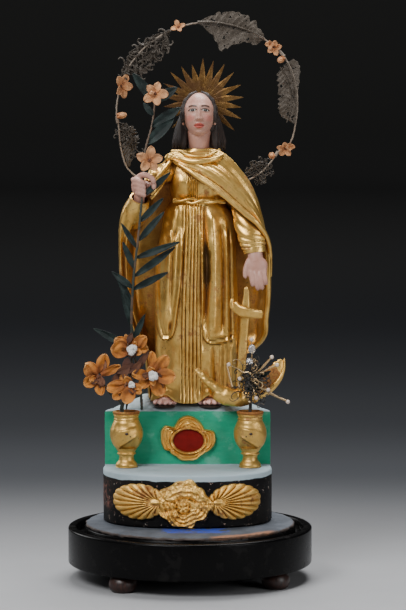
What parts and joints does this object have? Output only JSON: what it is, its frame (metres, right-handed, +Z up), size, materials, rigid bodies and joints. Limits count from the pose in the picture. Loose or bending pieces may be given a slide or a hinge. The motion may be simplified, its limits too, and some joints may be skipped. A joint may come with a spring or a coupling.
{
  "type": "plaster saint figurine",
  "caption": "Gilded standing saint with a sunburst halo, branch and anchor, on a stepped painted plinth with vases, under a garland hoop, on a round stand grooved for a glass dome.",
  "frame": {"origin": "on the ground under the round stand's axis, at the height of the feet's undersides", "axes": "+Z up, the saint faces -Y, +X to the right of someone who faces her"},
  "size_m": [0.244, 0.244, 0.5651],
  "materials": {
    "ebony": "French polished black",
    "bare_wood": "dark worn varnish",
    "blue_paint": "matt distemper, worn at the edge",
    "plinth_paint": "painted plaster: green above, pale blue on the ledges, black below, chipped",
    "gilding": "burnished gold leaf over red-brown bole, worn",
    "red_panel": "glossy red paint",
    "halo_brass": "aged sheet brass, browned",
    "cloth_orange": "stiffened cloth and paper petals, faded orange",
    "lace_silver": "tarnished silver lace and thread",
    "leaf_green": "stiffened cloth leaves, faded blue-green",
    "wire": "wire wound with pale thread",
    "bead": "pearl and glass beads on dark wires"
  },
  "bodies": {
    "root": {"anchor": "gilding", "bead_sprig": "bead", "bouquet_flower_1": "cloth_orange", "bouquet_flower_2": "cloth_orange", "bouquet_flower_3": "cloth_orange", "bouquet_flower_4": "cloth_orange", "bouquet_stems": "wire", "branch": "leaf_green", "branch_flower_lower": "cloth_orange", "branch_flower_upper": "cloth_orange", "cartouche_frame": "gilding", "cartouche_panel": "red_panel", "dome_stand": "ebony", "foot_back_left": "bare_wood", "foot_back_right": "bare_wood", "foot_front_left": "bare_wood", "foot_front_right": "bare_wood", "garland_flower_1": "cloth_orange", "garland_flower_2": "cloth_orange", "garland_flower_3": "cloth_orange", "garland_flower_4": "cloth_orange", "garland_flower_5": "cloth_orange", "garland_flower_6": "cloth_orange", "garland_flower_7": "cloth_orange", "garland_hoop": "wire", "halo": "halo_brass", "lace_leaf_1": "lace_silver", "lace_leaf_2": "lace_silver", "lace_leaf_3": "lace_silver", "lace_leaf_4": "lace_silver", "lace_leaf_5": "lace_silver", "painted_board": "blue_paint", "plinth": "plinth_paint", "saint": "gilding", "shell_ornament": "gilding", "vase_left": "gilding", "vase_right": "gilding"}
  },
  "joints": []
}
